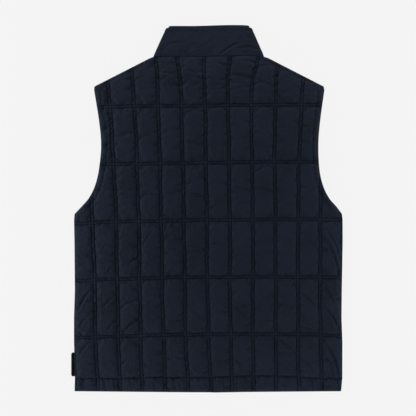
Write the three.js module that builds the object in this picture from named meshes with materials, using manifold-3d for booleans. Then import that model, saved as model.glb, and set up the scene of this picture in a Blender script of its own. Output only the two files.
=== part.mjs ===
import * as THREE from 'three';
import { mergeVertices } from 'three/addons/utils/BufferGeometryUtils.js';
import Module from 'manifold-3d';

// Quilted vest laid face down on a flat surface, zip closed. Millimetres.
// x runs across the back, with the wearer's left at -x. y is the height above the hem, z is up.

const wasm = await Module();
wasm.setup();

// Levels above the surface the vest lies on
const SEAM_GAP = 0.3;
const FRONT_INSIDE = 5.2;
const FRONT_STITCH = 1.6;
const BACK_INSIDE = FRONT_INSIDE + SEAM_GAP;
const BACK_STITCH = 8.0;
const BACK_CROWN = 10.3;
const RIM = { across: 7, down: 4 };
const CROWN_CLEAR = 0.2;

// How far a cutting shape reaches past what it cuts
const CUT_PAST = { across: 200, below: -20, above: 800, level: 1, slit: 10 };

// Edges of the back: height above the hem and half-width to the left and right
const SIDE_SEAM = [
  { height: 1, left: 278.6, right: 276.4 },
  { height: 29, left: 277.9, right: 278.9 },
  { height: 104, left: 279.8, right: 279.0 },
  { height: 154, left: 279.8, right: 277.2 },
  { height: 212, left: 278.0, right: 277.8 },
  { height: 312, left: 278.9, right: 279.8 },
  { height: 358, left: 279.7, right: 279.6 },
];
const ARMHOLE = [
  { height: 370, left: 278.6, right: 278.3 },
  { height: 386.7, left: 263.0, right: 265.6 },
  { height: 403, left: 249.0, right: 251.5 },
  { height: 428, left: 236.5, right: 239.2 },
  { height: 461.5, left: 228.2, right: 231.4 },
  { height: 511.5, left: 223.4, right: 229.0 },
  { height: 561, left: 227.3, right: 232.4 },
  { height: 628, left: 238.0, right: 241.6 },
];
const SHOULDER_TIP = [{ height: 635.5, left: 237.4, right: 240.2 }];
const SHOULDER_NECK = [{ height: 694.5, left: 121.7, right: 125.0 }];
const FRONT_ARMHOLE_SCOOP = 9;

// Hem line of each panel and the back neck seam: height at a distance across, from left to right
const BACK_HEM = [
  { across: -92, height: -0.8 },
  { across: 0, height: -1.3 },
  { across: 124, height: -0.2 },
];
const FRONT_HEM = {
  left: [{ across: -90, height: 0.4 }, { across: 3, height: 0 }],
  right: [{ across: -3, height: -2.1 }, { across: 70, height: -0.9 }],
};
const FRONT_LAP = 3;
const BACK_NECK = [
  { across: -115.3, height: 697.2 },
  { across: 8, height: 697.6 },
  { across: 33, height: 699.4 },
  { across: 102, height: 699.2 },
  { across: 116.8, height: 697.4 },
];

// Quilting: horizontal stitch pairs from the hem up, and the outer vertical pairs at each height
const STITCH_LEVELS = [-30, 30, 120.4, 239, 357.6, 476.2, 594.8, 713.4];
const STITCH_SAG = [
  { across: -330, drop: -9 },
  { across: -190, drop: -3.6 },
  { across: -90, drop: -1.6 },
  { across: 0, drop: 0 },
  { across: 190, drop: 0.8 },
  { across: 330, drop: -6 },
];
const BACK_COLUMNS = { first: 1, last: 9, outer: [-1.4, 11.4] };
const COLUMN_LEAN = [
  { height: 20, first: -183.9, last: 188.4 },
  { height: 220, first: -189.1, last: 186.4 },
  { height: 353, first: -191.2, last: 186.4 },
  { height: 486, first: -196.8, last: 188.4 },
  { height: 620, first: -206.8, last: 194.7 },
];
const FRONT_COLUMN = { first: 28, pitch: 46.8, count: 6 };
const CROWN_FLATNESS = 0.6;
const ROW_SHARES = [0, 0.12, 0.88];
const COLUMN_SHARES = { back: [0, 0.25, 0.5, 0.75], front: [0, 0.25, 0.75] };

// Collar band, folded flat at its slanted sides
const COLLAR_SIDE = [
  { height: 685, left: 119.4, right: 120.4 },
  { height: 756, left: 88.4, right: 91.2 },
];
const COLLAR_TOP = [
  { across: -80, height: 760.8 },
  { across: -25, height: 760.9 },
  { across: 37, height: 763.0 },
  { across: 83, height: 762.6 },
];
const COLLAR_WALL = 4.0;
const COLLAR_HEIGHT = 10.2;
const COLLAR_FOLD = { across: 4, down: COLLAR_HEIGHT / 2 };
const COLLAR_CORNER = { rise: 6, lean: 2 };
const NECK_POINT = { across: 116.5, height: 696.4 };
const FRONT_NECK_HEIGHT = 637;
const FRONT_COLLAR_TOP = 703;
const NECKLINE_BEND = { steep: 0.95, up: 26, flat: 0.6, steps: 12 };
const FRONT_BAND = { lap: 1, tuck: 6 };
const DIP = { wider: 1, foot: 757, bend: 724, lean: 6, flat: 0.6, top: 780, steps: 10 };

// Zip: the opening between the fronts, tapes behind their edges, chain, slider and pull
const ZIP = { opening: 4.5, tape: 14, foot: 2, head: 700 };
const PLACKET = { level: 3.3, above: 5 };
const TAPE = { low: 3.6, high: 4.2 };
const CHAIN = { half: 2.5, low: 3.0, high: 4.8, foot: 12, bevel: 0.5 };
const BOTTOM_BOX = { down: 0.5, up: 0.2 };
const SLIDER = { y: 694, half: 3.8, reach: 5.7, low: 2.5, high: 5.2, plate: 0.7, web: 2.4, overlap: 0.2 };
const SHIELD = { foot: 0.62, shoulder: 0.4, webFoot: 0.4 };
const BRIDGE = { half: 0.8, reach: 3.2, gap: 2.2, low: 0.15, beam: 0.7, cut: 2 };
const PULL = {
  z: 1.7, thick: 1.0, half: 3.0, length: 24, eye: 1.3, eyeFoot: 4.3, bar: 0.5, chamfer: 0.2, steps: 5,
};
const STOP = { x: 3.1, half: 0.7, low: 700.4, high: 702.6 };

// Folded cloth tab in the wearer's left side seam
const TAB = {
  low: 32, high: 81.5, foot: 3.4, reach: 6.2, z: 5.0, thick: 1.4, slant: 1, straight: 34, taper: 10,
};

const CLOTH = { color: 0x1a1f2a, roughness: 0.88, metalness: 0 };
const BLACK_TAPE = { color: 0x0b0c0f, roughness: 0.85, metalness: 0 };
const ZIP_PLASTIC = { color: 0x12151b, roughness: 0.5, metalness: 0 };
const ZIP_METAL = { color: 0x2a2d31, roughness: 0.38, metalness: 0.9 };

// Value of a table's column at a place along its key column
function lookUp(rows, key, at, column) {
  const above = rows.findIndex((row) => row[key] >= at);
  if (above === 0) return rows[0][column];
  if (above < 0) return rows[rows.length - 1][column];
  const [low, high] = [rows[above - 1], rows[above]];
  const share = (at - low[key]) / (high[key] - low[key]);
  return THREE.MathUtils.lerp(low[column], high[column], share);
}

const MERGE_WITHIN = 1e-4;
const CURVE_STEPS = 2;
const RIM_STEPS = 3;
const ARMHOLE_STEPS = 16;

function solidOf(geometry) {
  const bare = geometry.clone();
  bare.deleteAttribute('normal');
  bare.deleteAttribute('uv');
  const merged = mergeVertices(bare, MERGE_WITHIN);
  return new wasm.Manifold(new wasm.Mesh({
    numProp: 3,
    vertProperties: Float32Array.from(merged.attributes.position.array),
    triVerts: Uint32Array.from(merged.index.array),
  }));
}

function geometryOf(solid) {
  const { vertProperties, triVerts } = solid.getMesh();
  const geometry = new THREE.BufferGeometry();
  geometry.setAttribute('position', new THREE.BufferAttribute(vertProperties, 3));
  geometry.setIndex(new THREE.BufferAttribute(triVerts, 1));
  geometry.computeVertexNormals();
  return geometry;
}

function block(x, y, z) {
  const geometry = new THREE.BoxGeometry(x[1] - x[0], y[1] - y[0], z[1] - z[0]);
  return solidOf(geometry.translate((x[0] + x[1]) / 2, (y[0] + y[1]) / 2, (z[0] + z[1]) / 2));
}

function prism(shape, low, high) {
  const geometry = new THREE.ExtrudeGeometry(shape, {
    depth: high - low,
    bevelEnabled: false,
    curveSegments: CURVE_STEPS,
  });
  return solidOf(geometry.translate(0, 0, low));
}

// Prism whose upper and lower edges are rounded in from its outline
function roundedPrism(shape, low, high, rim) {
  const geometry = new THREE.ExtrudeGeometry(shape, {
    depth: high - low - 2 * rim.down,
    bevelThickness: rim.down,
    bevelSize: rim.across,
    bevelOffset: -rim.across,
    bevelSegments: RIM_STEPS,
    curveSegments: CURVE_STEPS,
  });
  return solidOf(geometry.translate(0, 0, low + rim.down));
}

function shapeThrough(points) {
  return new THREE.Shape(points.map(([x, y]) => new THREE.Vector2(x, y)));
}

const onRight = (rows) => rows.map(({ height, right }) => [right, height]);
const onLeft = (rows) => rows.map(({ height, left }) => [-left, height]).reverse();
const across = (rows, shift = 0) => rows.map((row) => [row.across, row.height + shift]);

function smooth(points, steps) {
  const curve = new THREE.SplineCurve(points.map(([x, y]) => new THREE.Vector2(x, y)));
  return curve.getPoints(steps).map(({ x, y }) => [x, y]);
}

// Armhole curve of one side, from the side seam up, scooped in from the back's curve
function armhole(side, scoop) {
  const rows = side > 0 ? onRight(ARMHOLE) : onLeft(ARMHOLE).reverse();
  const points = smooth(rows, ARMHOLE_STEPS);
  const last = points.length - 1;
  return points.map(([x, y], i) => [x - side * scoop * Math.sin((Math.PI * i) / last), y]);
}

function backOutline() {
  return shapeThrough([
    ...across(BACK_HEM),
    ...onRight(SIDE_SEAM),
    ...armhole(1, 0),
    ...onRight([...SHOULDER_TIP, ...SHOULDER_NECK]),
    ...across(BACK_NECK, -SEAM_GAP / 2).reverse(),
    ...onLeft([...SHOULDER_TIP, ...SHOULDER_NECK]),
    ...armhole(-1, 0).reverse(),
    ...onLeft(SIDE_SEAM),
  ]);
}

// Front neckline of one side, from the neck point to the centre, moved up by an offset
function neckline(side, offset) {
  const curve = new THREE.CubicBezierCurve(
    new THREE.Vector2(side * NECK_POINT.across, NECK_POINT.height),
    new THREE.Vector2(side * NECK_POINT.across * NECKLINE_BEND.steep, FRONT_NECK_HEIGHT + NECKLINE_BEND.up),
    new THREE.Vector2(side * NECK_POINT.across * NECKLINE_BEND.flat, FRONT_NECK_HEIGHT),
    new THREE.Vector2(0, FRONT_NECK_HEIGHT),
  );
  const { steps } = NECKLINE_BEND;
  return Array.from({ length: steps + 1 }, (unused, i) => {
    const point = curve.getPoint(i / steps);
    const along = curve.getTangent(i / steps);
    return [point.x + side * along.y * offset, point.y - side * along.x * offset];
  });
}

function frontOutline(side) {
  const hem = side > 0 ? FRONT_HEM.right : [...FRONT_HEM.left].reverse();
  const seam = side > 0 ? onRight(SIDE_SEAM) : onLeft(SIDE_SEAM).reverse();
  const tip = side > 0 ? onRight(SHOULDER_TIP) : onLeft(SHOULDER_TIP);
  return shapeThrough([
    ...across(hem),
    ...seam,
    ...armhole(side, FRONT_ARMHOLE_SCOOP),
    ...tip,
    ...neckline(side, 0),
    [-FRONT_LAP * side, FRONT_NECK_HEIGHT],
  ]);
}

// Rise of the padding between two stitch lines, 0 on the lines and 1 midway
function fill(share) {
  return Math.pow(Math.sin(Math.PI * share), CROWN_FLATNESS);
}

const within = (value) => value - Math.floor(value);
const levelAt = (row) => {
  const below = Math.min(Math.max(Math.floor(row), 0), STITCH_LEVELS.length - 2);
  return THREE.MathUtils.lerp(STITCH_LEVELS[below], STITCH_LEVELS[below + 1], row - below);
};

function gridSteps(from, to, shares) {
  const steps = [];
  for (let whole = Math.floor(from); whole <= to; whole += 1) {
    for (const share of shares) {
      if (whole + share > from && whole + share < to) steps.push(whole + share);
    }
  }
  return [from, ...steps, to];
}

// Slab between a flat level and a quilted face, over a grid of stitch columns and rows
function quiltedSlab(columns, rows, place, faceLevel, flatLevel) {
  const positions = [];
  const index = [];
  const width = columns.length;
  for (const quilted of [true, false]) {
    for (const row of rows) {
      for (const column of columns) {
        const { x, y } = place(column, row);
        positions.push(x, y, quilted ? faceLevel(column, row) : flatLevel);
      }
    }
  }
  const flat = width * rows.length;
  const faceUp = faceLevel(columns[0], rows[0]) > flatLevel;
  const quad = (a, b, c, d, turned) => {
    if (turned) index.push(a, c, b, a, d, c);
    else index.push(a, b, c, a, c, d);
  };
  for (let j = 0; j < rows.length - 1; j += 1) {
    for (let i = 0; i < width - 1; i += 1) {
      const a = j * width + i;
      quad(a, a + 1, a + width + 1, a + width, !faceUp);
      quad(flat + a, flat + a + 1, flat + a + width + 1, flat + a + width, faceUp);
    }
  }
  const rim = [];
  for (let i = 0; i < width - 1; i += 1) rim.push(i);
  for (let j = 0; j < rows.length - 1; j += 1) rim.push(j * width + width - 1);
  for (let i = width - 1; i > 0; i -= 1) rim.push((rows.length - 1) * width + i);
  for (let j = rows.length - 1; j > 0; j -= 1) rim.push(j * width);
  rim.forEach((a, i) => {
    const b = rim[(i + 1) % rim.length];
    quad(a, flat + a, flat + b, b, !faceUp);
  });
  const geometry = new THREE.BufferGeometry();
  geometry.setAttribute('position', new THREE.Float32BufferAttribute(positions, 3));
  geometry.setIndex(index);
  return solidOf(geometry);
}

function backPanel() {
  const columns = gridSteps(...BACK_COLUMNS.outer, COLUMN_SHARES.back);
  const rows = gridSteps(0, STITCH_LEVELS.length - 1, ROW_SHARES);
  const place = (column, row) => {
    const height = levelAt(row);
    const first = lookUp(COLUMN_LEAN, 'height', height, 'first');
    const last = lookUp(COLUMN_LEAN, 'height', height, 'last');
    const share = (column - BACK_COLUMNS.first) / (BACK_COLUMNS.last - BACK_COLUMNS.first);
    const x = THREE.MathUtils.lerp(first, last, share);
    return { x, y: height + lookUp(STITCH_SAG, 'across', x, 'drop') };
  };
  const rise = BACK_CROWN - BACK_STITCH;
  const level = (column, row) => BACK_STITCH + (within(row) === 0 ? 0 : rise * fill(within(column)));
  const slab = quiltedSlab(columns, rows, place, level, BACK_INSIDE);
  const body = roundedPrism(backOutline(), BACK_INSIDE - 2 * RIM.down, BACK_CROWN + CROWN_CLEAR, RIM);
  return slab.intersect(body);
}

// A front rests on the flat crowns of its padding, with its stitch lines raised
function frontPanel(side) {
  const columns = gridSteps(-1, FRONT_COLUMN.count, COLUMN_SHARES.front);
  const rows = gridSteps(0, STITCH_LEVELS.length - 1, ROW_SHARES);
  const place = (column, row) => {
    const x = side * (FRONT_COLUMN.first + column * FRONT_COLUMN.pitch);
    return { x, y: levelAt(row) + lookUp(STITCH_SAG, 'across', x, 'drop') };
  };
  const level = (column, row) => {
    const onLine = within(column) === 0 || within(row) === 0;
    return onLine ? FRONT_STITCH : 0;
  };
  const ordered = side > 0 ? columns : [...columns].reverse();
  const slab = quiltedSlab(ordered, rows, place, level, FRONT_INSIDE);
  const body = roundedPrism(frontOutline(side), 0, FRONT_INSIDE + 2 * RIM.down, RIM);
  return slab.intersect(body).subtract(zipOpening()).subtract(tapeRecess(FRONT_INSIDE + CUT_PAST.level));
}

function zipOpening() {
  const { below, above } = CUT_PAST;
  return block([-ZIP.opening, ZIP.opening], [below, above], [below, BACK_INSIDE]);
}

function tapeRecess(high) {
  const half = ZIP.tape + SEAM_GAP;
  return block([-half, half], [CUT_PAST.below, FRONT_COLLAR_TOP + PLACKET.above], [PLACKET.level, high]);
}

function collarShape() {
  const right = onRight(COLLAR_SIDE);
  const left = onLeft(COLLAR_SIDE).reverse();
  const { rise, lean } = COLLAR_CORNER;
  const shape = new THREE.Shape();
  shape.moveTo(...left[0]);
  shape.lineTo(...right[0]);
  shape.lineTo(...right[1]);
  shape.quadraticCurveTo(right[1][0] - lean, right[1][1] + rise, ...across(COLLAR_TOP)[3]);
  for (const point of across(COLLAR_TOP).slice(0, 3).reverse()) shape.lineTo(...point);
  shape.quadraticCurveTo(left[1][0] + lean, left[1][1] + rise, ...left[1]);
  return shape;
}

// Front part of the band, from the front neckline up to where it runs under the back seam
function frontBand(side) {
  const { lap, tuck } = FRONT_BAND;
  const top = NECK_POINT.height + tuck;
  return prism(shapeThrough([
    ...neckline(side, SEAM_GAP),
    [-lap * side, FRONT_NECK_HEIGHT + SEAM_GAP],
    [-lap * side, top],
    [side * (NECK_POINT.across - tuck), top],
  ]), 0, COLLAR_WALL);
}

// Neck opening above the front part of the band, seen inside the standing back part
function neckDip() {
  const dip = new THREE.Shape();
  const half = COLLAR_TOP[3].across + DIP.wider;
  dip.moveTo(half, DIP.top);
  dip.lineTo(half, DIP.foot);
  dip.bezierCurveTo(half - DIP.lean, DIP.bend, half * DIP.flat, FRONT_COLLAR_TOP, 0, FRONT_COLLAR_TOP);
  dip.bezierCurveTo(-half * DIP.flat, FRONT_COLLAR_TOP, DIP.lean - half, DIP.bend, -half, DIP.foot);
  dip.lineTo(-half, DIP.top);
  const geometry = new THREE.ExtrudeGeometry(dip, {
    depth: COLLAR_HEIGHT - COLLAR_WALL - CUT_PAST.below / 2,
    bevelEnabled: false,
    curveSegments: DIP.steps,
  });
  return solidOf(geometry.translate(0, 0, CUT_PAST.below / 2));
}

function collar() {
  const inside = COLLAR_HEIGHT - COLLAR_WALL;
  const past = CUT_PAST;
  const aboveSeam = prism(shapeThrough([
    [-past.across, BACK_NECK[0].height],
    ...across(BACK_NECK, SEAM_GAP / 2),
    [past.across, BACK_NECK[4].height],
    [past.across, past.above],
    [-past.across, past.above],
  ]), -past.level, COLLAR_HEIGHT + past.level);
  const slit = prism(shapeThrough([
    [-(COLLAR_SIDE[0].left - COLLAR_WALL), COLLAR_SIDE[0].height],
    [COLLAR_SIDE[0].right - COLLAR_WALL, COLLAR_SIDE[0].height],
    [COLLAR_SIDE[1].right - COLLAR_WALL - past.slit, DIP.top],
    [-(COLLAR_SIDE[1].left - COLLAR_WALL - past.slit), DIP.top],
  ]), COLLAR_WALL, inside);
  return roundedPrism(collarShape(), 0, COLLAR_HEIGHT, COLLAR_FOLD)
    .intersect(aboveSeam)
    .add(frontBand(1))
    .add(frontBand(-1))
    .subtract(slit)
    .subtract(neckDip())
    .subtract(zipOpening())
    .subtract(tapeRecess(inside));
}

function zipTape(side) {
  const x = [side * (CHAIN.half + SEAM_GAP), side * ZIP.tape].sort((a, b) => a - b);
  return block(x, [ZIP.foot, ZIP.head], [TAPE.low, TAPE.high]);
}

function zipChain() {
  const { half, low, high, foot, bevel } = CHAIN;
  const section = shapeThrough([
    [-half, low + bevel],
    [bevel - half, low],
    [half - bevel, low],
    [half, low + bevel],
    [half, high - bevel],
    [half - bevel, high],
    [bevel - half, high],
    [-half, high - bevel],
  ]);
  const head = SLIDER.y - SLIDER.reach - SEAM_GAP;
  const geometry = new THREE.ExtrudeGeometry(section, { depth: head - foot, bevelEnabled: false });
  return solidOf(geometry.rotateX(Math.PI / 2).translate(0, head, 0));
}

function zipBottomBox() {
  const levels = [CHAIN.low - BOTTOM_BOX.down, CHAIN.high + BOTTOM_BOX.up];
  return block([-CHAIN.half, CHAIN.half], [ZIP.foot, CHAIN.foot - SEAM_GAP], levels);
}

function zipStop(side) {
  const x = [side * STOP.x - STOP.half, side * STOP.x + STOP.half];
  return block(x, [STOP.low, STOP.high], [CHAIN.low, CHAIN.high]);
}

// Slider: two shield-shaped plates on a web, with a bridge over the pull's bar
function zipSlider() {
  const { y, half, reach, low, high, plate, web, overlap } = SLIDER;
  const foot = half * SHIELD.foot;
  const shoulder = y + reach * SHIELD.shoulder;
  const shield = new THREE.Shape();
  shield.moveTo(-foot, y - reach);
  shield.lineTo(foot, y - reach);
  shield.quadraticCurveTo(half, y, half, shoulder);
  shield.quadraticCurveTo(half, y + reach, 0, y + reach);
  shield.quadraticCurveTo(-half, y + reach, -half, shoulder);
  shield.quadraticCurveTo(-half, y, -foot, y - reach);
  const strip = block(
    [-BRIDGE.half, BRIDGE.half],
    [y - BRIDGE.reach, y + BRIDGE.reach],
    [BRIDGE.low, low + overlap],
  );
  const under = [BRIDGE.low + BRIDGE.beam, low];
  const bridge = strip.subtract(block([-BRIDGE.cut, BRIDGE.cut], [y - BRIDGE.gap, y + BRIDGE.gap], under));
  return prism(shield, low, low + plate)
    .add(prism(shield, high - plate, high))
    .add(block([-web, web], [y - reach + SHIELD.webFoot, shoulder], [low + overlap, high - overlap]))
    .add(bridge);
}

// Pull: a plate with an eye at its head, whose end bar turns under the slider's bridge
function zipPull() {
  const { z, thick, half, length, eye, eyeFoot, bar, chamfer, steps } = PULL;
  const plate = new THREE.Shape();
  plate.moveTo(-half, SLIDER.y + bar);
  plate.lineTo(-half, SLIDER.y - length + half);
  plate.quadraticCurveTo(-half, SLIDER.y - length, 0, SLIDER.y - length);
  plate.quadraticCurveTo(half, SLIDER.y - length, half, SLIDER.y - length + half);
  plate.lineTo(half, SLIDER.y + bar);
  const hole = new THREE.Path();
  hole.moveTo(-eye, SLIDER.y - bar);
  hole.lineTo(eye, SLIDER.y - bar);
  hole.lineTo(eye, SLIDER.y - eyeFoot);
  hole.lineTo(-eye, SLIDER.y - eyeFoot);
  plate.holes.push(hole);
  const geometry = new THREE.ExtrudeGeometry(plate, {
    depth: thick - 2 * chamfer,
    bevelThickness: chamfer,
    bevelSize: chamfer,
    bevelOffset: -chamfer,
    bevelSegments: 1,
    curveSegments: steps,
  });
  return solidOf(geometry.translate(0, 0, z - thick / 2 + chamfer));
}

// Tab: starts a gap out from the side seam and narrows towards its foot
function sideTab() {
  const { low, high, foot, reach, z, thick, slant, straight, taper } = TAB;
  const edge = (height) => -lookUp(SIDE_SEAM, 'height', height, 'left') - SEAM_GAP;
  return prism(shapeThrough([
    [edge(low), low],
    [edge(high), high],
    [edge(high) - reach, high - slant],
    [edge(high) - reach, high - straight],
    [edge(low) - foot - slant, low + taper],
    [edge(low) - foot, low + slant],
  ]), z - thick / 2, z + thick / 2);
}

const vest = new THREE.Group();

function addPiece(name, solid, look) {
  const mesh = new THREE.Mesh(geometryOf(solid), new THREE.MeshStandardMaterial(look));
  mesh.name = name;
  vest.add(mesh);
}

addPiece('back_panel', backPanel(), CLOTH);
addPiece('front_left', frontPanel(-1), CLOTH);
addPiece('front_right', frontPanel(1), CLOTH);
addPiece('collar', collar(), CLOTH);
addPiece('zip_tape_left', zipTape(-1), BLACK_TAPE);
addPiece('zip_tape_right', zipTape(1), BLACK_TAPE);
addPiece('zip_chain', zipChain(), ZIP_PLASTIC);
addPiece('zip_bottom_box', zipBottomBox(), ZIP_PLASTIC);
addPiece('zip_stop_left', zipStop(-1), ZIP_METAL);
addPiece('zip_stop_right', zipStop(1), ZIP_METAL);
addPiece('zip_slider', zipSlider(), ZIP_METAL);
addPiece('zip_pull', zipPull(), ZIP_METAL);
addPiece('side_tab', sideTab(), BLACK_TAPE);

// The origin is under the middle of the whole vest, on the surface it lies on
const box = new THREE.Box3().setFromObject(vest);
const middle = box.getCenter(new THREE.Vector3());
vest.position.set(-middle.x, -middle.y, 0);

export default vest;
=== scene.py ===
"""Quilted vest laid face down: cloth shells, stitching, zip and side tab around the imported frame."""
import math

import bpy
import numpy as np
from bpy.props import FloatProperty, IntProperty, PointerProperty, StringProperty
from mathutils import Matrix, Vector
from mathutils.bvhtree import BVHTree


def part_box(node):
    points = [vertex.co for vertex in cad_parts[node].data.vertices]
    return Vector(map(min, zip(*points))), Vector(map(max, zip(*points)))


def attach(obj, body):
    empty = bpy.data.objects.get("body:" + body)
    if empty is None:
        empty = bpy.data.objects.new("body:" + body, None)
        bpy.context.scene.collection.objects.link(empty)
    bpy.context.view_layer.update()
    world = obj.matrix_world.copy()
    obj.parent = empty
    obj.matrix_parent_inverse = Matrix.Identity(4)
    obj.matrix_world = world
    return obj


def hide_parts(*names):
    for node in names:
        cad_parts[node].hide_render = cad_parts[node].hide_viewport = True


bl_info = {
    "name": "Quilted vest",
    "version": (1, 0, 0),
    "blender": (4, 5, 0),
    "location": "3D View > Sidebar > Vest",
    "description": "Builds a quilted vest, laid flat and face down, around its frame",
    "category": "Object",
}

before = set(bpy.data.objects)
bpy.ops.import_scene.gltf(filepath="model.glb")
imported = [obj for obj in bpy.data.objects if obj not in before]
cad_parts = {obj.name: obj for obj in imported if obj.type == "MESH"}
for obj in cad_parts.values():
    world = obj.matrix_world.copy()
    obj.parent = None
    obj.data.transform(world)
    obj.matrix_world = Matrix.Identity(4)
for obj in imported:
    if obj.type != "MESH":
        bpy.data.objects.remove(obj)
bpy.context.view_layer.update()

# Sizes below are millimetres: x across from the back's middle line, y the height above the hem
MM = 0.001
BODY = "vest"

# Edges of the back: height, half-width to the wearer's left, half-width to the right
SIDE_SEAM = (
    (1, 278.6, 276.4),
    (29, 277.9, 278.9),
    (104, 279.8, 279.0),
    (154, 279.8, 277.2),
    (212, 278.0, 277.8),
    (312, 278.9, 279.8),
    (358, 279.7, 279.6),
)
ARMHOLE = (
    (370, 278.6, 278.3),
    (386.7, 263.0, 265.6),
    (403, 249.0, 251.5),
    (428, 236.5, 239.2),
    (461.5, 228.2, 231.4),
    (511.5, 223.4, 229.0),
    (561, 227.3, 232.4),
    (628, 238.0, 241.6),
)
SHOULDER_TIP = (635.5, 237.4, 240.2)
SHOULDER_NECK = (694.5, 121.7, 125.0)
FRONT_ARMHOLE_SCOOP = 9
SEAM_GAP = 0.3

# Hems, necks and the collar's top edge: across, height
BACK_HEM = ((-92, -0.8), (0, -1.3), (124, -0.2))
FRONT_HEM = {-1: ((-4.5, 0.0), (-90, 0.4)), 1: ((4.5, -2.1), (70, -0.9))}
BACK_NECK = ((-115.3, 697.2), (8, 697.6), (33, 699.4), (102, 699.2), (116.8, 697.4))
COLLAR_TOP = ((-83.3, 758.2), (-79, 761.2), (-25, 761.4), (37, 763.2), (80, 762.6), (86.1, 758.4))

# Curves of the front neckline and of the collar's dip above it, by their four control points
NECKLINE = ((116.5, 696.4), (110.7, 663), (69.9, 637), (0, 637))
COLLAR_DIP = ((84, 757), (78, 724), (50.4, 703), (0, 703))

# The collar's folded sides: low and high corner of the front, then of the back
COLLAR_FOLDS = {
    -1: ((-111.0, 695.8), (-83.0, 757.0), (-110.0, 697.4), (-83.3, 757.6)),
    1: ((112.0, 695.8), (84.5, 757.0), (111.5, 698.2), (86.1, 758.0)),
}
# Middle levels of the collar's front and back, and half its thickness
COLLAR_MIDDLES = (2.0, 8.2)
COLLAR_HALF = 2.0
# Below the collar's top edge: its row of stitches, and the distance over which the edge rounds off
COLLAR_TOPSTITCH = 10
COLLAR_LIP = 2.2
# Beside the zip the collar is thinner: by how much, from which distance across, over which distance
COLLAR_SLIM = {"by": 0.35, "start": 18, "over": 6}

# Zip: half the gap between the fronts, then how far across the thin strip of a front reaches and the level
# of its inner face, its edge's thickness, and the row of stitches along it
ZIP_OPENING = 4.5
PLACKET = (14.4, 3.3)
PLACKET_LIP = 0.9
PLACKET_STITCH = {"across": 12.5, "foot": 4, "head": 634}
# A tape's lower and upper end, its rows of mesh, and its section: across, level
TAPE_ENDS = (2.0, 700.0)
TAPE_ROWS = 176
TAPE_SECTION = (
    (2.8, 3.62),
    (2.8, 4.18),
    (3.6, 4.2),
    (4.4, 4.05),
    (9, 4.1),
    (13.9, 4.15),
    (14, 3.9),
    (13.9, 3.65),
    (9, 3.7),
    (4.4, 3.75),
    (3.6, 3.6),
)
# A tooth from its root to its tip: distance across, half its length along the zip, half its height
TOOTH = (
    (2.5, 0.372, 0.9),
    (1.6, 0.372, 0.9),
    (1.0, 0.57, 0.9),
    (0.4, 0.57, 0.8),
    (0.0, 0.33, 0.55),
)
TEETH = {"first": 13.2, "last": 687.0, "pitch": 2.6, "level": 3.9}

# Vertical stitch pairs of the back: height, then the distance across of each pair from left to right
PAIR_LINES = (
    (21, -230.0, -183.9, -137.1, -89.9, -42.4, 5.8, 49.5, 94.4, 140.6, 188.4, 235.9),
    (87, -233.8, -185.9, -140.2, -92.4, -46.6, 1.2, 47.0, 92.8, 140.6, 186.4, 233.2),
    (220, -235.9, -189.1, -142.3, -95.5, -48.7, -1.9, 44.9, 92.8, 139.6, 186.4, 232.1),
    (353, -240.0, -191.2, -144.4, -97.6, -50.3, -2.9, 44.9, 92.8, 139.6, 186.4, 232.1),
    (486, -247.0, -196.8, -148.5, -100.7, -52.8, -5.0, 42.8, 90.7, 137.5, 188.4, 236.0),
    (620, -256.0, -206.8, -154.8, -104.8, -57.0, -7.1, 40.8, 89.6, 139.6, 194.7, 245.0),
    (655, -258.0, -210.0, -157.5, -106.5, -59.0, -9.0, 41.0, 92.0, 141.0, 199.0, 250.0),
    (694, -262.0, -213.0, -160.0, -109.4, -65.3, -8.1, 44.5, 104.2, 148.0, 203.0, 255.0),
)
PAIRS = len(PAIR_LINES[0]) - 1
# Further pairs past each side seam, at the usual pitch, which the outline cuts off
SPARE = 2
PITCH = 47.0
FRONT_COLUMN = {"first": 28.0, "pitch": 46.8, "count": 6}

# Horizontal stitch pairs, and how far the rows droop: height, then the droop at each distance across
HEM_STITCH = 30.0
PAIR_LEVELS = (120.4, 239.0, 357.6, 476.2, 594.8)
DROOP_ACROSS = (-267, -184, -90, 0, 90, 190, 232, 274)
DROOP = (
    (-5, 0.0, 0.0, 0.0, 0.0, 0.0, 0.0, 0.0, 0.0),
    (30, -2.1, -2.1, 0.0, 0.0, 4.1, 1.5, -2.1, -2.1),
    (120, -7.9, -4.1, -2.0, 0.0, 0.0, 0.0, -2.0, -4.5),
    (239, -7.9, -4.0, -1.6, 0.0, 0.0, 0.0, 0.0, -2.1),
    (357, -7.5, -3.4, -2.1, 0.0, 0.3, 1.6, 1.2, -0.2),
    (476, -5.0, -2.6, -1.1, 0.0, 1.9, 1.9, 1.9, 1.9),
    (595, -4.0, -2.0, 0.0, 0.0, 1.9, 1.9, 1.9, 1.9),
)
# Half the gap within a pair, and the distances from its middle that have a line of the mesh
PAIR_HALF = 3.25
NEAR_STITCH = (0, 1.3, 2.4, PAIR_HALF, 4.1, 5.6, 7.6, 9.8)
# Lowest and highest line of the mesh, past both ends of every panel
MESH_ENDS = (-10.0, 712.0)
# The groove that a line of thread pulls into the cloth: half-width, depth
GROOVE = (1.3, 1.6)
# How far in from their edges the rows along the armholes and the shoulders lie
ARMHOLE_STITCH = 12.0
SHOULDER_STITCH = 5.5
# The heights between which an edge is the armhole's, and the corner past which it is the shoulder's
ARMHOLE_SPAN = (384, 627)
SHOULDER_FROM = {"height": 640, "across": 124}
# Further than any stitch reaches
FAR = 1000.0
# How many times further down than in the row along a slanting shoulder lies
SHOULDER_SLANT = 1.12
# Where the rays that find a surface start, in metres above or below it
RAY_START = 0.5
# Both sides, -1 for the wearer's left
SIDES = ((-1, "left"), (1, "right"))

# Levels above the surface the vest lies on
FRONT_LEVELS = {"inner": 5.2, "stitch": 2.2, "crown": 0.0, "edge": 3.6}
BACK_LEVELS = {"inner": 5.5, "stitch": 7.7, "crown": 10.4, "edge": 6.6}
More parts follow.
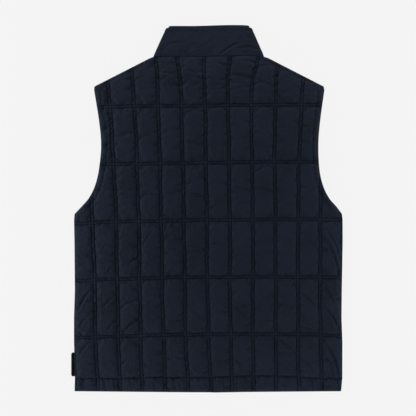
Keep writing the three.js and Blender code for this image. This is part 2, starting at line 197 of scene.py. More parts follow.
# The cloth climbs steeply beside a stitch line, and then gently to its crown: distances for each
STEEP_RISE = 3.2
COLUMN_RISE = 14
ROW_RISE = 16
HEM_RISE = 9
# Distance in over which an edge rounds off, and the height and distance in of the swell of the back
EDGE_ROUND = 9.0
SWELL = (2.0, 42.0)
# The collar's seam holds the neck edge of the back up: by how much, from which height, over which
# distance, and to which half-width
NECK_LIFT = {"by": 2.0, "from": 680, "over": 12, "half": 116}
# The fronts don't show in the main view, so their mesh may be coarser
FRONT_COARSER = 1.4

# Simulation: enlargement of the sheet, longest move kept, and how softly crowns are held down
SIM_SCALE = 20
LONGEST_MOVE = 4.0
CROWN_SOFTNESS = 1.4
CLOTH_RULES = {
    "quality": 4,
    "mass": 0.15,
    "air_damping": 2,
    "tension_stiffness": 25,
    "compression_stiffness": 25,
    "shear_stiffness": 10,
    "bending_stiffness": 0.3,
    "tension_damping": 5,
    "compression_damping": 5,
    "shear_damping": 5,
    "bending_damping": 0.3,
}

# A crease's trough is narrower and deeper than its row says, by these factors
CREASE_NARROW = 0.65
CREASE_DEEPEN = 1.6
# Creases of the back: both ends, then the depth and the half-width
BACK_CREASES = (
    ((-269, 173), (-244, 212), 1.8, 3.4),
    ((-267, 137), (-246, 160), 1.0, 3.0),
    ((-215, 181), (-198, 197), 1.7, 3.2),
    ((-209, 129), (-192, 150), 1.7, 3.2),
    ((-182, 175), (-151, 191), 1.8, 3.6),
    ((-173, 129), (-149, 149), 2.2, 3.4),
    ((-267, 79), (-248, 102), 1.6, 3.2),
    ((-209, 247), (-196, 264), 1.4, 3.0),
    ((-165, 264), (-149, 279), 1.4, 3.0),
    ((-130, 314), (-119, 331), 1.3, 3.0),
    ((240, 108), (270, 34), 2.2, 3.6),
    ((241, 82), (260, 32), 1.6, 3.2),
    ((240, 178), (270, 130), 1.8, 3.2),
    ((238, 226), (257, 188), 1.6, 3.2),
    ((240, 322), (270, 246), 1.8, 3.4),
    ((248, 332), (275, 268), 1.3, 3.2),
    ((193, 206), (220, 179), 1.7, 3.2),
    ((193, 137), (232, 120), 1.7, 3.4),
    ((151, 106), (182, 77), 1.7, 3.4),
    ((197, 68), (217, 44), 1.5, 3.0),
    ((55, 71), (70, 52), 1.0, 3.0),
    ((51, 179), (74, 160), 1.1, 3.2),
    ((1, 283), (16, 270), 1.0, 3.0),
    ((66, 690), (112, 676), 0.9, 2.8),
    ((52, 628), (78, 632), 0.9, 2.6),
    ((58, 612), (84, 608), 0.8, 2.6),
    ((39, 658), (91, 654), 1.6, 3.4),
    ((-101, 665), (-76, 661), 1.2, 3.0),
    ((-101, 649), (-67, 638), 1.2, 3.2),
    ((-53, 670), (-26, 663), 1.2, 3.0),
    ((-53, 640), (-32, 640), 1.1, 3.0),
    ((16, 640), (32, 638), 1.0, 3.0),
    ((-186, 410), (-169, 410), 1.0, 2.8),
    ((-90, 412), (-63, 412), 1.1, 2.8),
    ((-40, 412), (-17, 410), 1.0, 2.8),
    ((-92, 299), (-63, 295), 1.0, 2.8),
    ((-47, 301), (-17, 303), 1.0, 2.8),
    ((-184, 306), (-169, 303), 0.9, 2.8),
    ((47, 428), (66, 422), 1.0, 2.8),
)
FRONT_CREASES = (
    ((262, 88), (240, 128), 1.1, 3.4),
    ((205, 140), (186, 166), 1.0, 3.2),
    ((152, 196), (128, 176), 1.0, 3.2),
    ((262, 236), (244, 268), 0.9, 3.2),
    ((96, 96), (118, 78), 0.9, 3.0),
    ((60, 420), (88, 416), 0.9, 3.0),
    ((150, 300), (176, 306), 0.9, 3.0),
    ((186, 560), (212, 580), 1.0, 3.2),
)
COLLAR_CREASES = (
    ((28, 705), (59, 724), 1.0, 3.2),
    ((66, 716), (99, 715), 1.0, 3.0),
    ((-49, 707), (-38, 695), 0.8, 2.6),
    ((-84, 722), (-60, 727), 0.5, 3.0),
    ((-20, 716), (-4, 722), 0.4, 2.8),
)

# Stage, in metres: half the floor's side, its level, and how far the lamps stand from the vest's middle
FLOOR_HALF = 4.0
FLOOR_LEVEL = -0.0008
SUN_DISTANCE = 2
# Name, bearing, rise and spread in degrees, power
SUNS = (
    ("key", 155, 42, 45, 1.22),
    ("fill", -40, 50, 60, 0.3),
)
# Name, place across and up, width, length, power
STRIPS = (
    ("left_strip", -0.58, 0, 0.25, 1.1, 3.6),
    ("right_strip", 0.58, 0, 0.25, 1.1, 2.8),
    ("top_strip", 0, 0.68, 0.9, 0.25, 2.2),
    ("bottom_strip", 0, -0.68, 0.9, 0.25, 1.9),
)
STRIP_LEVEL = 0.17
STRIP_TILT = 72
# Strength of the sky at the horizon and overhead
SKY = (0.55, 0.29)
# The middle of the view in mm, its width and the level it is measured at in metres, and the lens in mm
VIEW_MIDDLE = (-0.8, 382.5)
VIEW_WIDTH = 0.8653
VIEW_LEVEL = 0.009
LENS = 120
SENSOR = 36


def linear(hex_colour):
    """An sRGB hex colour as linear RGBA."""
    shares = [int(hex_colour[i : i + 2], 16) / 255 for i in (1, 3, 5)]
    return (*[s / 12.92 if s <= 0.04045 else ((s + 0.055) / 1.055) ** 2.4 for s in shares], 1.0)


class VestSettings(bpy.types.PropertyGroup):
    """Sizes and colours of the vest that a user would change."""

    nylon_colour: StringProperty(
        name="Nylon", description="Colour of the quilted cloth, as sRGB hex", default="#0f1520"
    )
    # The thread's colour is darker than the cloth's dye: partly its own navy, partly painted shade of the
    # groove it sits in
    thread_and_groove_shade_colour: StringProperty(
        name="Thread", description="Colour of the stitches, as sRGB hex", default="#05070b"
    )
    tape_colour: StringProperty(
        name="Tapes", description="Colour of the zip tapes and the side tab, as sRGB hex", default="#060709"
    )
    floor_colour: StringProperty(
        name="Floor", description="Colour of the lit sheet the vest lies on, as sRGB hex", default="#f4f4f4"
    )
    grid_step: FloatProperty(
        name="Mesh step",
        description="Longest side of a face of the quilted cloth",
        default=0.0024,
        min=0.0015,
        unit="LENGTH",
    )
    gather: FloatProperty(
        name="Gather",
        description="Share by which the cloth is longer than the room it has",
        default=0.07,
        min=0,
        max=1,
        subtype="FACTOR",
    )
    puff: FloatProperty(
        name="Puff", description="Pressure of the filling under the cloth", default=0.35, min=0
    )
    settle_frames: IntProperty(
        name="Settling", description="Steps of the cloth simulation", default=24, min=1
    )
    stitch_pitch: FloatProperty(
        name="Stitch pitch",
        description="From one stitch to the next",
        default=0.0032,
        min=0.001,
        unit="LENGTH",
    )
    stitch_length: FloatProperty(
        name="Stitch length",
        description="Thread that shows in a stitch",
        default=0.0026,
        min=0.001,
        unit="LENGTH",
    )
    thread_width: FloatProperty(
        name="Thread width",
        description="Thickness of the sewing thread",
        default=0.0008,
        min=0.0001,
        unit="LENGTH",
    )


def smooth_curve(points, steps):
    """Points along a uniform Catmull-Rom curve through some points."""
    points = np.array(points, float)
    last = len(points) - 1
    ends = np.vstack([points[0], points, points[-1]])
    found = []
    for i in range(steps + 1):
        at = i / steps * last
        k = min(int(at), last - 1)
        t = at - k
        a, b, c, d = ends[k : k + 4]
        found.append(
            0.5 * (2 * b + (c - a) * t + (2 * a - 5 * b + 4 * c - d) * t**2 + (3 * b - a - 3 * c + d) * t**3)
        )
    return np.array(found)


def bezier(points, t):
    """Points of a cubic curve at some shares of its way."""
    a, b, c, d = np.array(points, float)
    t = np.asarray(t)[:, None]
    return (1 - t) ** 3 * a + 3 * (1 - t) ** 2 * t * b + 3 * (1 - t) * t**2 * c + t**3 * d


def side_points(rows, side):
    """Points up one side from rows of a height and two half-widths."""
    return [(side * row[2 if side > 0 else 1], row[0]) for row in rows]


def armhole(side, scoop):
    """Points up an armhole, scooped in by up to some distance."""
    points = smooth_curve(side_points(ARMHOLE, side), 40)
    points[:, 0] -= side * scoop * np.sin(np.pi * np.linspace(0, 1, len(points)))
    return points


def back_outline():
    """The edge of the back, round from the left of its hem."""

    def rising(side):
        shoulder = side_points((SHOULDER_TIP, SHOULDER_NECK), side)
        return np.vstack([side_points(SIDE_SEAM, side), armhole(side, 0), shoulder])

    neck = np.array(BACK_NECK[::-1]) - (0, SEAM_GAP / 2)
    return np.vstack([BACK_HEM, rising(1), neck, rising(-1)[::-1]])


def front_outline(side):
    """The edge of a front, from the zip's foot up its side seam and back to the zip's head."""
    neckline = bezier(NECKLINE, np.linspace(0, 1, 40)) * (side, 1) - (0, SEAM_GAP / 2)
    neckline = neckline[abs(neckline[:, 0]) > ZIP_OPENING]
    return np.vstack([
        FRONT_HEM[side],
        side_points(SIDE_SEAM, side),
        armhole(side, FRONT_ARMHOLE_SCOOP),
        side_points([SHOULDER_TIP], side),
        neckline,
        [(side * ZIP_OPENING, neckline[-1, 1])],
    ])


def rounded(gap, reach, least=0.0):
    """A quarter of a circle's rise, from 0 at an edge to 1 at a distance from it."""
    return np.sqrt(np.clip(1 - (1 - np.clip(gap / reach, 0, 1)) ** 2, least, 1))


OUTLINE = back_outline()
# The frame's own place for the back gives the shift from these measures to the frame
SHIFT = np.array(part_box("back_panel")[0][:2]) / MM - OUTLINE.min(0)


def in_frame(points):
    """Points in these measures, as metres in the frame."""
    points = np.array(points, float)
    points[:, :2] += SHIFT
    return points * MM


def between(keys, values, at):
    """Read off a table whose rows belong to some keys, at a key for each of its columns."""
    keys, values = np.array(keys, float), np.array(values, float)
    upper = np.clip(np.searchsorted(keys, at), 1, len(keys) - 1)
    share = np.clip((at - keys[upper - 1]) / (keys[upper] - keys[upper - 1]), 0, 1)
    column = np.arange(len(at))
    return values[upper - 1, column] * (1 - share) + values[upper, column] * share


def back_pair(number, height):
    """Distance across of the back's numbered stitch pairs at some heights."""
    numbers = np.arange(-SPARE, PAIRS + SPARE)
    rows = []
    for row in PAIR_LINES:
        low = row[1] - PITCH * np.arange(SPARE, 0, -1)
        high = row[-1] + PITCH * np.arange(1, SPARE + 1)
        rows.append(np.interp(number, numbers, np.concatenate([low, row[1:], high])))
    waver = 0.5 * np.sin(height / 31 + 1.7 * number) + 0.35 * np.sin(height / 13 + 2.9 * number)
    return between([row[0] for row in PAIR_LINES], rows, height) + waver


def front_pair(number, height):
    """Distance across of a front's numbered stitch pairs at some heights."""
    return FRONT_COLUMN["first"] + FRONT_COLUMN["pitch"] * number + 0.5 * np.sin(height / 29 + 2.1 * number)


def across(pair, column, height):
    """Distance across of grid columns. Whole numbers are stitch pairs, and steps by them keep their size."""
    low = np.floor(column)
    left, right = pair(low, height), pair(low + 1, height)
    near = (column - low) * PITCH
    far = PITCH - near
    kept = NEAR_STITCH[-1]
    middle = kept + (near - kept) * (right - left - 2 * kept) / (PITCH - 2 * kept)
    return left + np.where(near < kept, near, np.where(far < kept, right - left - far, middle))


def droop(x, height):
    """How far a row of stitches lies above its own height at a distance across."""
    rows = [np.interp(x, DROOP_ACROSS, row[1:]) for row in DROOP]
    waver = 0.4 * np.sin(x / 27 + height / 23) + 0.3 * np.sin(x / 11 + height / 17)
    return between([row[0] for row in DROOP], rows, height) + waver * (height > HEM_STITCH + 5)


def steps_between(low, high, most):
    """Places between low and high, no further apart than most."""
    count = max(1, math.ceil((high - low) / most))
    return list(np.linspace(low, high, count + 1)[1:-1])


def quilt_rows(most):
    """Heights of the grid's rows: close together at the stitch pairs, and spaced out elsewhere."""
    fixed = {*MESH_ENDS, HEM_STITCH - 2, HEM_STITCH, HEM_STITCH + 2}
    for level in PAIR_LEVELS:
        fixed |= {level + side * near for near in NEAR_STITCH for side in (-1, 1)}
    fixed = sorted(fixed)
    rows = [fixed[0]]
    for a, b in zip(fixed, fixed[1:]):
        rows += steps_between(a, b, most) + [b]
    return np.array(rows)


def quilt_columns(first, last, most):
    """Numbers of the grid's columns: close together at the stitch pairs, and spaced out elsewhere."""
    half = [near / PITCH for near in NEAR_STITCH]
    half += steps_between(half[-1], 0.5, most / PITCH)
    shares = half + [0.5] + [1 - h for h in half[:0:-1]]
    return np.array([k + share for k in range(first, last) for share in shares])


def nearest_pair(column):
    """Signed distance, in mm at the usual pitch, from grid columns to the nearest stitch pair."""
    return (column - np.round(column)) * PITCH


def row_gap(rows):
    """Signed distance from heights to the nearest horizontal stitch pair."""
    gaps = rows[:, None] - np.array(PAIR_LEVELS)
    return gaps[np.arange(len(rows)), abs(gaps).argmin(1)]


def edge_distance(points, outline):
    """How far in from a closed outline points lie, negative outside, and where on it they are nearest."""
    best = np.full(len(points), np.inf)
    foot = np.zeros_like(points)
    inside = np.zeros(len(points), bool)
    x, y = points.T
    for a, b in zip(outline, np.roll(outline, -1, axis=0)):
        along = b - a
        if not along.any():
            continue
        t = np.clip((points - a) @ along / (along @ along), 0, 1)
        near = a + t[:, None] * along
        gap = ((points - near) ** 2).sum(1)
        closer = gap < best
        best[closer], foot[closer] = gap[closer], near[closer]
        if a[1] != b[1]:
            spans = (a[1] > y) != (b[1] > y)
            inside[spans] ^= x[spans] < a[0] + (y[spans] - a[1]) / along[1] * along[0]
    return np.where(inside, 1, -1) * np.sqrt(best), foot


def cut_grid(points, shape, outline, snap=0.45):
    """Cuts a grid along an outline. A point is its place in two numbers, then others that go with it."""
    rows, columns = shape
    depth, foot = edge_distance(points[:, :2], outline)
    near = abs(depth) < snap
    points[near, :2] = foot[near]
    depth[near] = 0
    corner = (np.arange(rows - 1)[:, None] * columns + np.arange(columns - 1)).ravel()
    quads = np.stack([corner, corner + 1, corner + columns + 1, corner + columns], 1)
    low, high = depth[quads].min(1), depth[quads].max(1)
    faces = [list(q) for q in quads[(low >= 0) & (high > 0)]]
    added, made = [], {}
    for quad in quads[(low < 0) & (high > 0)]:
        face = []
        for a, b in zip(quad, np.roll(quad, -1)):
            if depth[a] >= 0:
                face.append(a)
            if depth[a] * depth[b] < 0:
                key = (min(a, b), max(a, b))
                if key not in made:
                    share = depth[key[0]] / (depth[key[0]] - depth[key[1]])
                    made[key] = len(points) + len(added)
                    added.append(points[key[0]] * (1 - share) + points[key[1]] * share)
                face.append(made[key])
        if len(face) > 2:
            faces.append(face)
    points = np.vstack([points, added])
    depth = np.concatenate([depth, np.zeros(len(added))])
    used = np.unique(np.concatenate(faces))
    place = np.full(len(points), -1)
    place[used] = np.arange(len(used))
    return points[used], [[int(place[i]) for i in f] for f in faces], depth[used]


def new_piece(name, points, faces, material, smooth=True):
    """A mesh of points in metres in the frame, riding with the vest."""
    old = bpy.data.objects.get(name)
    if old:
        bpy.data.objects.remove(old)
    mesh = bpy.data.meshes.new(name)
    mesh.from_pydata([tuple(p) for p in points], [], [tuple(int(i) for i in f) for f in faces])
    mesh.polygons.foreach_set("use_smooth", [smooth] * len(mesh.polygons))
    mesh.materials.append(material)
    mesh.update()
    piece = bpy.data.objects.new(name, mesh)
    bpy.context.scene.collection.objects.link(piece)
    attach(piece, BODY)
    return piece


def ring_faces(rings, count, outward):
    """Faces of a tube of rings of points, closed at both ends."""
    faces = []
    for i in range(rings - 1):
        for j in range(count):
            k = (j + 1) % count
            faces.append([i * count + j, (i + 1) * count + j, (i + 1) * count + k, i * count + k])
    faces.append(list(range(count)))
    faces.append([(rings - 1) * count + j for j in range(count)][::-1])
    return faces if outward else [f[::-1] for f in faces]


def border_loop(faces):
    """The open border of a sheet of faces, in order, against the way its faces turn."""
    sides = {(a, b) for face in faces for a, b in zip(face, face[1:] + face[:1])}
    follow = {b: a for a, b in sides if (b, a) not in sides}
    start = min(follow)
    loop, at = [start], follow[start]
    while at != start:
        loop.append(at)
        at = follow[at]
    return loop


def close_shell(sheet, faces, inner, step=None):
    """Closes a sheet with a wall and a flat inner face, which may step down near the middle line."""
    loop = border_loop(faces)
    reach, low_level = step or (0, inner)
    lower = abs(sheet[loop, 0]) < reach
    turns = [i for i in range(len(loop)) if lower[i] and not (lower[i - 1] and lower[(i + 1) % len(loop)])]
    points = list(sheet)
    feet, steps = [], {}
    for i, at in enumerate(loop):
        feet.append(len(points))
        points.append((*sheet[at, :2], low_level if lower[i] else inner))
        if i in turns:
            steps[i] = len(points)
            points.append((*sheet[at, :2], inner))
    shell = list(faces)
    flat, stepped = [], []
    for i, foot in enumerate(feet):
        j = (i + 1) % len(feet)
        if lower[i] and lower[j]:
            bottom = [feet[j], foot]
        else:
            bottom = [feet[j], steps[j]] if j in steps else [feet[j]]
            bottom += [steps[i], foot] if i in steps else [foot]
        shell.append([loop[i], loop[j]] + bottom)
        (stepped if lower[i] else flat).append(foot)
        if i in steps:
            flat.append(steps[i])
    shell.append(flat)
    if stepped:
        shell.append(stepped)
        a, b = turns
        shell.append([steps[a], steps[b], feet[b], feet[a]])
    return np.array(points, float), shell


def soft_noise(points, size, seed):
    """Smooth noise over a plane with bumps about a size across, mostly from -1 to 1."""
    rng = np.random.default_rng(seed)
    total = np.zeros(len(points))
    for _ in range(16):
        angle, phase = rng.uniform(0, 2 * np.pi, 2)
        wave = 2 * np.pi / (size * rng.uniform(1.4, 2.6))
        total += np.sin(wave * (points[:, 0] * np.cos(angle) + points[:, 1] * np.sin(angle)) + phase)
    return total / 5


def crumple(points, size, seed):
    """Crumpled relief down from 0: sharp valleys where smooth noise turns, with flat cloth between."""
    bend = np.stack([soft_noise(points, 3 * size, seed + i) for i in (1, 2)], 1) * 0.6 * size
    moved = points[:, :2] + bend
    first = np.abs(soft_noise(moved, size, seed + 3))
    second = np.abs(soft_noise(moved + 400, 0.6 * size, seed + 4))
    return -np.exp(-first / 0.16) - 0.5 * np.exp(-second / 0.16)


def line_noise(along, line, size, seed):
    """Smooth noise along many lines at once: values a size apart, different for each line."""
    rng = np.random.default_rng(seed)
    table = rng.uniform(-1, 1, (64, 512))
    at = along / size + 100
    cell = np.floor(at).astype(int)
    share = at - cell
    share = share * share * (3 - 2 * share)
    row = (line.astype(int) * 7) % 64
    return table[row, cell % 512] * (1 - share) + table[row, (cell + 1) % 512] * share


def creased(points, creases):
    """How far creases push a sheet in at some points: a soft trough with a lip on both sides."""
    push = np.zeros(len(points))
    for a, b, depth, half in creases:
        a, b = np.array(a, float), np.array(b, float)
        along = b - a
        length = np.linalg.norm(along)
        along /= length
        offset = points[:, :2] - a
        t = offset @ along
        bow = 0.06 * length * np.sin(np.pi * np.clip(t / length, 0, 1))
        gap = offset @ np.array([-along[1], along[0]]) - bow
        ends = np.exp(-((np.clip(np.maximum(-t, t - length), 0, None) / (1.6 * half)) ** 2))
        body = 0.75 + 0.25 * np.sin(np.pi * np.clip(t / length, 0, 1))
        narrow = CREASE_NARROW * half
        trough = np.exp(-(abs(gap / narrow) ** 1.5))
        lips = np.exp(-(((abs(gap) - 2.2 * narrow) / (0.9 * narrow)) ** 2))
        push += CREASE_DEEPEN * depth * ends * body * (trough - 0.35 * lips)
    return push


def quilted_sheet(pair, side, columns, outline, most):
    """The outer face of a quilted panel: points with their gaps to the stitch pairs, faces, distances in."""
    rows = quilt_rows(most)
    column, row = [a.ravel() for a in np.meshgrid(columns, rows)]
    y = row
    for _ in range(3):
        x = across(pair, column, y)
        y = row + droop(side * x, row)
    tags = [nearest_pair(column), np.repeat(row_gap(rows), len(columns)), column, row]
    points = np.stack([side * x, y] + tags, 1)
    points, faces, depth = cut_grid(points, (len(rows), len(columns)), outline)
    if side < 0:
        faces = [f[::-1] for f in faces]
    return points, faces, depth


def pillow(points, depth):
    """Height of quilted cloth from 0 at the stitch lines to 1 on a crown, with its gathers."""
    to_column, to_row, column, row = points[:, 2:6].T
    x, y = points[:, 0], points[:, 1]

    def rise(gap, reach):
        """From 0 at a pair of stitch lines to 1 on a crown, with a low ridge within the pair."""
        gap = abs(gap)
        away = np.clip((gap - PAIR_HALF) / reach, 0, 1)
        close = np.clip((gap - PAIR_HALF) / STEEP_RISE, 0, 1)
        strip = 0.2 * np.clip(1 - (gap / PAIR_HALF) ** 2, 0, 1)
        return np.where(gap > PAIR_HALF, 0.5 * (1 - (1 - close) ** 2) + 0.5 * (1 - (1 - away) ** 2), strip)

    def ridges(along, line, size, seed):
        """Sharp little valleys along a line, some deep and some hardly there."""
        noise = line_noise(along, line, size, seed)
        patchy = 0.55 + 0.45 * line_noise(along, line, 5 * size, seed + 1)
        return patchy * (0.5 * noise - np.exp(-abs(noise) / 0.45))

    def fading(gap, reach, start):
        """From 1 at a start to nothing further on, and nothing before it."""
        return np.exp(-np.clip(gap - start, 0, None) / reach) * (gap > start - 0.5)

    hem = np.clip((abs(row - HEM_STITCH) - 0.2) / HEM_RISE, 0, 1)
    share = rise(to_column, COLUMN_RISE) * rise(to_row, ROW_RISE) * (1 - (1 - hem) ** 2.2)

    # Gathers run out from the upright stitch lines, slanting down towards the sides of the vest
    slant = 0.9 * np.tanh(x / 90) * (1 - np.clip((y - 420) / 200, 0, 1))
    line = np.round(column) * 2 + (to_column > 0)
    gathers = fading(abs(to_column), 10, PAIR_HALF) * ridges(y + slant * to_column, line, size=5.5, seed=3)
    level = np.searchsorted(PAIR_LEVELS, row) * 2 + (to_row > 0)
    upright = ridges(x - 0.3 * to_row, level + 31, size=5.5, seed=5)
    gathers += 0.8 * fading(abs(to_row), 8, PAIR_HALF) * upright
    gathers += 1.3 * fading(abs(row - HEM_STITCH), 8, 0) * ridges(x, level + 17, size=5.0, seed=7)
    # The hem's band is puckered all the way down
    pucker = line_noise(x + 0.15 * y, np.full(len(points), 21), size=3.8, seed=13)
    gathers += 4.0 * (row < HEM_STITCH) * pucker
    # Slack folds lie across the upper columns, below the collar
    lying = soft_noise(np.stack([0.35 * x, y], 1), size=10, seed=41)
    gathers += 2.0 * np.clip((y - 585) / 50, 0, 1) * (0.4 * lying - np.exp(-abs(lying) / 0.35))
    # The seams pucker the edges
    edge = ridges(y + 0.5 * x, np.full(len(points), 9), size=4.8, seed=9)
    gathers += 2.2 * fading(depth, 8, 0) * (row > HEM_STITCH) * edge
    return share, gathers


def edge_seams(points, depth):
    """Distance from points to the stitches along an armhole or a shoulder, and a far one elsewhere."""
    x, y = points[:, 0], points[:, 1]
    by_armhole = (y > ARMHOLE_SPAN[0]) & (y < ARMHOLE_SPAN[1])
    by_shoulder = (y > SHOULDER_FROM["height"]) & (abs(x) > SHOULDER_FROM["across"])
    armhole_row = np.where(by_armhole, abs(depth - ARMHOLE_STITCH), FAR)
    shoulder_row = np.where(by_shoulder, abs(depth - SHOULDER_STITCH), FAR)
    return np.minimum(armhole_row, shoulder_row)


def grooves(points, seam_gap):
    """How far thread pulls the cloth in: a sharp groove, and by an edge's own stitches a wider dip too."""
    half, depth = GROOVE
    pull = np.zeros(len(points))
    to_column, to_row, _, row = points[:, 2:6].T
    pairs = [abs(abs(gap) - PAIR_HALF) for gap in (to_column, to_row)]
    for gap in (*pairs, abs(row - HEM_STITCH), seam_gap / 1.5):
        pull = np.maximum(pull, depth * np.clip(1 - gap / half, 0, 1))
    return pull + 0.8 * np.exp(-((seam_gap / 4) ** 2))


def settle(points, faces, held, settings):
    """Runs the cloth simulation on an enlarged copy of a sheet, and returns where its points end."""
    scene = bpy.context.scene
    mesh = bpy.data.meshes.new("settling")
    mesh.from_pydata([tuple(p) for p in points * MM * SIM_SCALE], [], [tuple(f) for f in faces])
    cloth_copy = bpy.data.objects.new("settling", mesh)
    scene.collection.objects.link(cloth_copy)
    group = cloth_copy.vertex_groups.new(name="stitched")
    group.add(np.nonzero(held)[0].tolist(), 1.0, "REPLACE")
    modifier = cloth_copy.modifiers.new("cloth", "CLOTH")
    rules = modifier.settings
    for name, value in CLOTH_RULES.items():
        setattr(rules, name, value)
    rules.effector_weights.gravity = 0
    rules.vertex_group_mass = "stitched"
    rules.shrink_min = -settings.gather
    rules.shrink_max = -settings.gather
    rules.use_pressure = True
    rules.uniform_pressure_force = settings.puff
    modifier.collision_settings.use_collision = False
    modifier.collision_settings.use_self_collision = False
    modifier.point_cache.frame_start = 1
    modifier.point_cache.frame_end = settings.settle_frames
    for number in range(1, settings.settle_frames + 1):
        scene.frame_set(number)
    made = cloth_copy.evaluated_get(bpy.context.evaluated_depsgraph_get())
    result = made.to_mesh()
    ends = np.zeros(len(result.vertices) * 3, np.float32)
    result.vertices.foreach_get("co", ends)
    made.to_mesh_clear()
    bpy.data.objects.remove(cloth_copy)
    bpy.data.meshes.remove(mesh)
    scene.frame_set(1)
    return ends.reshape(-1, 3).astype(float) / SIM_SCALE / MM


def puffed(points, faces, held, settings):
    """A sheet after the cloth simulation, with its longest moves cut short."""
    move = settle(points, faces, held, settings) - points
    reach = np.linalg.norm(move, axis=1)
    return points + move * np.minimum(1, LONGEST_MOVE / np.maximum(reach, 0.001))[:, None]


def surface_tree(piece):
    """A tree for ray casts on a piece, without the flat inner face and its many corners."""
    points = [v.co.copy() for v in piece.data.vertices]
    faces = [list(p.vertices) for p in piece.data.polygons if len(p.vertices) < 8]
    return BVHTree.FromPolygons(points, faces)


def stitch_places(routes, outline, settings, margin=2.0):
    """The middles of the stitches along some routes, within any outline, and the way each one runs."""
    pitch = settings.stitch_pitch / MM
    middles, ways = [], []
    for route in routes:
        route = np.array(route, float)
        run = np.concatenate([[0], np.cumsum(np.linalg.norm(np.diff(route, axis=0), axis=1))])
        at = np.arange(pitch / 2, run[-1], pitch)
        ends = [np.stack([np.interp(at + d, run, route[:, i]) for i in (0, 1)], 1) for d in (-0.5, 0.5)]
        middles.append((ends[0] + ends[1]) / 2)
        ways.append(ends[1] - ends[0])
    middles, ways = np.vstack(middles), np.vstack(ways)
    if outline is not None:
        kept = edge_distance(middles, outline)[0] > margin
        middles, ways = middles[kept], ways[kept]
    return middles, ways / np.linalg.norm(ways, axis=1)[:, None]


def sew(name, routes, tree, side, outline, settings):
    """Stitches along routes across and up, laid on a surface from above (side 1) or below (side -1)."""
    length, radius = settings.stitch_length / MM, settings.thread_width / 2
    closed = ring_faces(3, 4, side < 0)
    up = Vector((0, 0, side))
    points, faces = [], []
    for middle, way in zip(*stitch_places(routes, outline, settings)):
        hits = []
        for share in (-0.5, 0, 0.5):
            x, y = in_frame([middle + way * share * length])[0]
            hits.append(tree.ray_cast(Vector((x, y, side * RAY_START)), -up)[0])
        if None in hits:
            continue
        sideways = Vector((-way[1], way[0], 0))
        faces += [[len(points) + i for i in face] for face in closed]
        # A stitch is thickest and highest in its middle
        for share, place in zip((0, 1, 0), hits):
            size = radius * (0.55 + 0.45 * share)
            centre = place + up * radius * (0.9 * share - 0.2)
            points += [centre + way_out * size for way_out in (sideways, up, -sideways, -up)]
    thread = material_for("PolyesterThreadTwistedPaintedShade", thread_with_painted_shade, settings)
    return new_piece(name, points, faces, thread)


def row_routes(side=0):
    """Routes of the level stitch rows, on one side of the middle only where a side is given."""
    spans = np.arange(-284, 285, 4.0)
    rows = [(level, off) for level in PAIR_LEVELS for off in (-PAIR_HALF, PAIR_HALF)] + [(HEM_STITCH, 0)]
    routes = []
    for level, off in rows:
        routes.append(np.stack([spans, level + off + droop(spans, np.full(len(spans), level))], 1))
    return [route[np.sign(route[:, 0]) != -side] if side else route for route in routes]


def upright_routes(pair, count, side):
    """Routes of the upright stitch lines of the first numbered pairs."""
    heights = np.arange(0, 702, 4.0)
    routes = []
    for number in range(count):
        for off in (-PAIR_HALF, PAIR_HALF):
            x = side * (pair(np.full(len(heights), number), heights) + off)
            routes.append(np.stack([x, heights], 1))
    return routes


def armhole_route(side, scoop):
    """Route of the stitches along an armhole, some distance in from its edge."""
    route = armhole(side, scoop)
    way = np.gradient(route, axis=0)
    way /= np.linalg.norm(way, axis=1)[:, None]
    return route + ARMHOLE_STITCH * side * np.stack([-way[:, 1], way[:, 0]], 1)


# Materials


def add_node(tree, kind, inputs=None, **settings):
    """Adds a shader node, sets it up, and fills or links its inputs."""
    made = tree.nodes.new(kind)
    for name, value in settings.items():
        setattr(made, name, value)
    for name, value in (inputs or {}).items():
        if isinstance(value, bpy.types.NodeSocket):
            tree.links.new(value, made.inputs[name])
        else:
            made.inputs[name].default_value = value
    return made


def new_material(name):
    """An empty material, its shader and the place in the frame that its patterns are drawn on."""
    old = bpy.data.materials.get(name)
    if old:
        bpy.data.materials.remove(old)
    material = bpy.data.materials.new(name)
    material.use_nodes = True
    shader = material.node_tree.nodes["Principled BSDF"]
    place = add_node(material.node_tree, "ShaderNodeTexCoord").outputs["Object"]
    return material, material.node_tree, shader, place


def per_size(millimetres):
    """The scale of a pattern whose cells are some millimetres across."""
    return 1 / (millimetres * MM)


